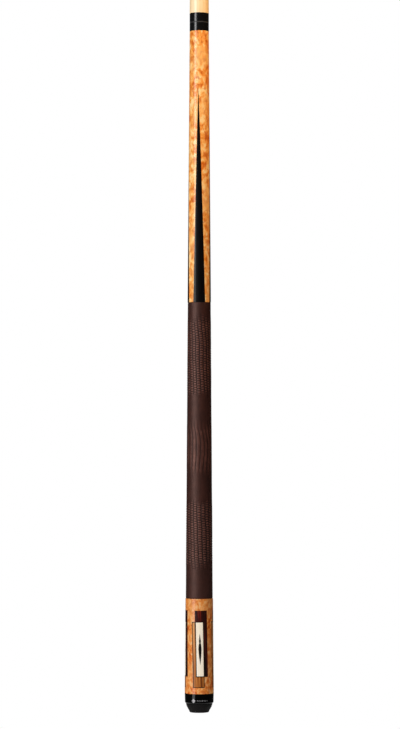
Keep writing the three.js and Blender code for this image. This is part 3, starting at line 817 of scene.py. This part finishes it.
SPEAR_ACROSS = 0.00085
SPEAR_HALF = [(0.0, 0.0865), (0.0011, 0.0775), (0.0007, 0.0757), (0.0014, 0.0738), (0.00175, 0.0693),
              (0.0012, 0.0615), (0.0, 0.0518)]
spear_outline = [(SPEAR_ACROSS + half, up) for half, up in SPEAR_HALF[::-1]]
spear_outline += [(SPEAR_ACROSS - half, up) for half, up in SPEAR_HALF[1:-1]]

ivory_resin, pen = finish("ivory_resin", Roughness=0.3, Coat_Weight=0.4, Coat_Roughness=0.12)
layers = cloud(pen, inlay_place(pen, (1, 1, 0.02)), 600, 2.0)
warm = cloud(pen, inlay_place(pen, (1, 1, 0.5)), 120, 1.0)
cream = ramp(pen, layers, (0.35, colour(248, 230, 204)), (0.65, colour(255, 247, 232)))
feed(ivory_resin, Base_Color=tinted(pen, band(pen, warm, 0.4, 0.7, 0.0, 0.3), cream, colour(252, 240, 206)),
     Normal=bump(pen, layers, 0.00001))
set_in(inlaid(box_outline(IVORY), spear_outline), "ivory_plates", "ivory_plate", ivory_resin)

spear_wood, pen = finish("spear_wood", Roughness=0.3, Coat_Weight=0.5, Coat_Roughness=0.12)
flake = cloud(pen, inlay_place(pen, (1, 1, 0.4)), 1300, 2.0)
feed(spear_wood, Base_Color=ramp(pen, flake, (0.40, colour(8, 6, 5)), (0.62, colour(22, 17, 14)),
                                 (0.78, colour(70, 60, 56))),
     Normal=bump(pen, flake, 0.00003))
set_in(inlaid(spear_outline), "spears", "spear", spear_wood)


# ---------------------------------------------------------------- butt cap
# A black phenolic ring glued on the core's end, its lower edge eased. One large and seven small
# silver foil lozenges are stamped round its front.
cap_low, cap_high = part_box("butt_cap")
CAP_BORE = 0.00495
CAP_CHAMFER = 0.0009
CAP_EASING = 0.35
CAP_FOOT_RADIUS = cap_high.x - 0.00025


def cap_radius(z):
    """The radius of the cap's slightly tapered wall."""
    foot = cap_low.z + CAP_CHAMFER
    return CAP_FOOT_RADIUS + (cap_high.x - CAP_FOOT_RADIUS) * (z - foot) / (cap_high.z - foot)


cap_outline = [(CAP_BORE, cap_low.z), (CAP_FOOT_RADIUS - CAP_CHAMFER, cap_low.z)]
for i in range(1, 5):
    share = i / 5
    inset = 1 - math.sin(share * math.pi / 2) * CAP_EASING - share * (1 - CAP_EASING)
    rise = 1 - math.cos(share * math.pi / 2) * CAP_EASING - (1 - share) * (1 - CAP_EASING)
    cap_outline.append((CAP_FOOT_RADIUS - CAP_CHAMFER * inset, cap_low.z + CAP_CHAMFER * rise))
wall_foot = cap_low.z + CAP_CHAMFER
cap_outline += [(CAP_FOOT_RADIUS, wall_foot), (cap_radius(wall_foot + 0.0003), wall_foot + 0.0003),
                (cap_high.x, cap_high.z - 0.0001), (cap_high.x - 0.0001, cap_high.z),
                (CAP_BORE, cap_high.z)]
cap_phenolic, pen = finish("cap_phenolic", Roughness=0.12, Specular_IOR_Level=0.22)
polish = cloud(pen, place_in(pen, (1, 1, 4)), 420, 3.0)
feed(cap_phenolic, Base_Color=ramp(pen, polish, (0.3, colour(2, 2, 2)), (0.7, colour(6, 5, 5))),
     Roughness=band(pen, polish, 0.3, 0.7, 0.10, 0.15))
cap = turned("butt_cap_ring", cap_outline, sides=128)
cap.data.materials.append(cap_phenolic)
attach(cap, "butt")
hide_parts("butt_cap")

silver, pen = finish("stamped_silver", Metallic=0.7)
wear = cloud(pen, place_in(pen), 2200, 3.0)
feed(silver, Base_Color=ramp(pen, wear, (0.3, colour(120, 118, 120)), (0.7, colour(186, 184, 186))),
     Roughness=band(pen, wear, 0.3, 0.7, 0.35, 0.6))

MARK_HEIGHT = 0.0034
FOIL_SUNK = 0.0001
FOIL_PROUD = 0.00004


def lozenge(half_width, half_height):
    """A foil lozenge bent round the front of the cap. Each side has a corner in its middle for the bend."""
    middle = cap_low.z + MARK_HEIGHT
    corners = [(0, -1), (0.5, -0.5), (1, 0), (0.5, 0.5), (0, 1), (-0.5, 0.5), (-1, 0), (-0.5, -0.5)]
    shape = bmesh.new()
    rings = []
    for out in (-FOIL_SUNK, FOIL_PROUD):
        ring = []
        for across, up in corners:
            z = middle + up * half_height
            radius = cap_radius(z) + out
            ring.append(shape.verts.new(on_ring(radius, across * half_width / radius, z)))
        rings.append(ring)
    inner_ring, outer_ring = rings
    shape.faces.new(outer_ring)
    shape.faces.new(inner_ring[::-1])
    for i in range(8):
        nxt = (i + 1) % 8
        shape.faces.new((inner_ring[i], inner_ring[nxt], outer_ring[nxt], outer_ring[i]))
    return mesh_of("lozenge", shape)


for name, count, first, step, half_width, half_height in (
        ("large_lozenge", 1, -0.41, 0.0, 0.0021, 0.0024),
        ("small_lozenges", 7, -0.13, 0.118, 0.00058, 0.0008)):
    marks = grown(name, copies, {
        "Count": count, "First Angle": first, "Step Angle": step, "Finish": silver},
        lozenge(half_width, half_height))
    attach(marks, "butt")


# ---------------------------------------------------------------- bumper, its washer and its stud
# Tapered black rubber moulded on a steel stud, with a washer over the stud's head. It screws into the
# butt's end and opens the way to the weight bolt.
rubber, pen = finish("rubber", Roughness=0.62, Specular_IOR_Level=0.12)
skin_marks = cloud(pen, place_in(pen), 1400, 3.0)
scuff = cloud(pen, place_in(pen), 220, 2.0)
feed(rubber, Base_Color=ramp(pen, scuff, (0.3, colour(9, 8, 7)), (0.7, colour(16, 13, 13))),
     Roughness=band(pen, skin_marks, 0.3, 0.7, 0.52, 0.70), Normal=bump(pen, skin_marks, 0.00004))

refinish(steel, "bumper_washer")
stud_low, stud_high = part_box("bumper_stud")
washer_low, washer_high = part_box("bumper_washer")
FOOT_ROUND = 0.0012
FOOT_RING = 0.0107
STUD_HOLE = 0.00495
HEAD_POCKET = 0.00775
STUD_ROOT = 0.0040
STUD_CREST = 0.0047
STUD_PITCH = 0.0015875
outline = [(0.0, bumper_foot.z), (FOOT_RING - FOOT_ROUND, bumper_foot.z)]
for i in range(1, 7):
    bend = math.pi / 2 * i / 6
    outline.append((FOOT_RING - FOOT_ROUND + FOOT_ROUND * math.sin(bend),
                    bumper_foot.z + FOOT_ROUND - FOOT_ROUND * math.cos(bend)))
outline += [(0.0121, bumper_foot.z + 0.0038), (0.01335, bumper_foot.z + 0.0061),
            (0.0140, bumper_foot.z + 0.0079), (bumper_rim.x - 0.0001, bumper_rim.z - 0.0004),
            (bumper_rim.x - 0.0004, bumper_rim.z), (STUD_HOLE, bumper_rim.z),
            (STUD_HOLE, washer_high.z + 0.0001), (HEAD_POCKET, washer_high.z + 0.0001),
            (HEAD_POCKET, stud_low.z - 0.0001), (0.0, stud_low.z - 0.0001)]
bumper = turned("rubber_bumper", outline, sides=128, sharp=28)
bumper.data.materials.append(rubber)
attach(bumper, "bumper")
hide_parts("bumper")

stud = rod("bumper_stud_screw", STUD_ROOT, STUD_CREST, STUD_PITCH, stud_low.z, stud_high.z, stud_low.z)
head = turned("stud_head", [(0.0, stud_low.z), (0.0073, stud_low.z), (0.0075, stud_low.z + 0.0002),
                            (0.0075, washer_low.z - 0.0002), (0.0045, washer_low.z - 0.0001),
                            (0.0, washer_low.z - 0.0001)])
head.data.materials.append(steel)
for part_of_stud in (stud, head):
    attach(part_of_stud, "bumper")
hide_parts("bumper_stud")


# ---------------------------------------------------------------- shaft
# One long stick of straight-grained hard maple, satin sealed, with a black collar and a threaded brass
# insert in its joint end.
brass, pen = finish("turned_brass", Metallic=1.0)
lay = cloud(pen, place_in(pen, (1, 1, 6)), 600, 2.0)
feed(brass, Base_Color=ramp(pen, lay, (0.3, colour(182, 140, 66)), (0.7, colour(214, 174, 96))),
     Roughness=band(pen, lay, 0.3, 0.7, 0.25, 0.4), Normal=bump(pen, lay, 0.00003))
refinish(brass, "shaft_insert")

ring_low, ring_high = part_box("shaft_collar")
shaft_low, shaft_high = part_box("shaft")
ferrule_low, ferrule_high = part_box("ferrule")
INSERT_BORE = 0.0067
TENON = 0.0077
shaft_collar = turned("shaft_collar_ring", [
    (TENON + 0.0002, ring_low.z), (ring_high.x - EDGE, ring_low.z),
    (ring_high.x - EASED, ring_low.z + EASED), (ring_high.x, ring_low.z + EDGE),
    (ring_high.x, ring_low.z + EDGE + BESIDE), (ring_high.x, ring_high.z - 0.0003),
    (ring_high.x, ring_high.z - 0.0001), (ring_high.x - 0.00005, ring_high.z),
    (TENON + 0.0002, ring_high.z)], sharp=50)
shaft_collar.data.materials.append(black_phenolic)
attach(shaft_collar, "shaft_collar")
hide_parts("shaft_collar")

SLIM_FROM = 0.330
SLIM_RADIUS = 0.0066
TAPER_DIP = 0.00012
FERRULE_TENON = 0.0042
shaft_foot = ring_high.z + 0.00005
shaft_outline = [(INSERT_BORE, shaft_low.z), (TENON, shaft_low.z), (TENON, shaft_foot),
                 (shaft_high.x - 0.00005, shaft_foot), (shaft_high.x, shaft_foot + 0.0001),
                 (shaft_high.x, shaft_foot + 0.0004)]
slim_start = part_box("tip")[1].z - SLIM_FROM
for i in range(1, 13):
    share = i / 12
    taper = shaft_high.x + (SLIM_RADIUS - shaft_high.x) * share
    shaft_outline.append((taper - TAPER_DIP * math.sin(math.pi * share),
                          shaft_foot + (slim_start - shaft_foot) * share))
bore_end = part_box("shaft_insert")[1].z + 0.002
shaft_outline += [(ferrule_high.x, ferrule_low.z - 0.00005), (FERRULE_TENON, ferrule_low.z - 0.00005),
                  (FERRULE_TENON, shaft_high.z), (0.0, shaft_high.z), (0.0, bore_end),
                  (INSERT_BORE, bore_end)]
shaft = turned("shaft_maple", shaft_outline, sides=96)
shaft_maple, pen = finish("shaft_maple", Roughness=0.4, Coat_Weight=0.3, Coat_Roughness=0.2)
grain = cloud(pen, place_in(pen, (1, 1, 0.025)), 700, 3.0, 0.55)
fine = cloud(pen, place_in(pen, (1, 1, 0.06)), 2600, 2.0)
maple = ramp(pen, grain, (0.34, colour(246, 208, 156)), (0.5, colour(252, 222, 176)),
             (0.68, colour(255, 231, 190)))
flecks = band(pen, cloud(pen, place_in(pen, (1, 1, 0.25)), 900, 1.0), 0.66, 0.74, 0.0, 0.3)
feed(shaft_maple, Base_Color=tinted(pen, flecks, maple, colour(214, 168, 112)),
     Normal=bump(pen, fine, 0.00002))
shaft.data.materials.append(shaft_maple)
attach(shaft, "shaft")
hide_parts("shaft")


# ---------------------------------------------------------------- ferrule, pad and tip
# A white resin sleeve glued on the shaft's thin end, a red fibre disc, and a domed blue-grey leather
# tip with chalk in its grain.
pad_low, pad_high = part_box("tip_pad")
tip_low, tip_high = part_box("tip")

ferrule_resin, pen = finish("ferrule_resin", Roughness=0.25)
tone = cloud(pen, place_in(pen), 260, 2.0)
feed(ferrule_resin, Base_Color=ramp(pen, tone, (0.3, colour(238, 232, 218)), (0.7, colour(248, 244, 234))),
     Roughness=band(pen, tone, 0.3, 0.7, 0.2, 0.32))
FERRULE_BORE = 0.00445
ferrule = turned("ferrule_sleeve", [
    (FERRULE_BORE, ferrule_low.z), (ferrule_high.x - 0.00005, ferrule_low.z),
    (ferrule_high.x, ferrule_low.z + 0.0001), (ferrule_high.x, ferrule_high.z), (0.0, ferrule_high.z),
    (0.0, shaft_high.z + 0.0002), (FERRULE_BORE, shaft_high.z + 0.0002)])
ferrule.data.materials.append(ferrule_resin)
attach(ferrule, "shaft")
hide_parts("ferrule")

red_fibre, pen = finish("red_fibre", Roughness=0.6)
weave = cloud(pen, place_in(pen, (1, 1, 8)), 500, 2.0)
feed(red_fibre, Base_Color=ramp(pen, weave, (0.3, colour(96, 22, 20)), (0.7, colour(138, 40, 34))))
pad = turned("fibre_pad", [(0.0, pad_low.z), (pad_high.x, pad_low.z), (pad_high.x, pad_high.z),
                           (0.0, pad_high.z)])
pad.data.materials.append(red_fibre)
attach(pad, "shaft")
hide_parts("tip_pad")

tip_leather, pen = finish("tip_leather", Roughness=0.9)
nap = cloud(pen, place_in(pen), 1900, 4.0, 0.65)
chalk = cloud(pen, place_in(pen), 420, 3.0)
wear_and_painted_highlight = ramp(pen, chalk, (0.3, colour(64, 96, 128)), (0.7, colour(122, 152, 178)))
feed(tip_leather, Base_Color=tinted(pen, band(pen, nap, 0.45, 0.7, 0.0, 0.6), wear_and_painted_highlight, colour(52, 60, 70)),
     Normal=bump(pen, nap, 0.0002))
DOME = 0.0106
rim_angle = math.asin((tip_high.x - 0.0002) / DOME)
rim_height = tip_high.z - DOME + DOME * math.cos(rim_angle)
tip_outline = [(0.0, tip_low.z), (tip_high.x, tip_low.z), (tip_high.x + 0.0001, rim_height - 0.0012),
               (tip_high.x, rim_height - 0.0003)]
for i in range(13):
    bend = rim_angle * (1 - i / 12)
    tip_outline.append((DOME * math.sin(bend), tip_high.z - DOME + DOME * math.cos(bend)))
tip = turned("leather_tip", tip_outline, sides=96, sharp=45)
tip.data.materials.append(tip_leather)
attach(tip, "shaft")
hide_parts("tip")
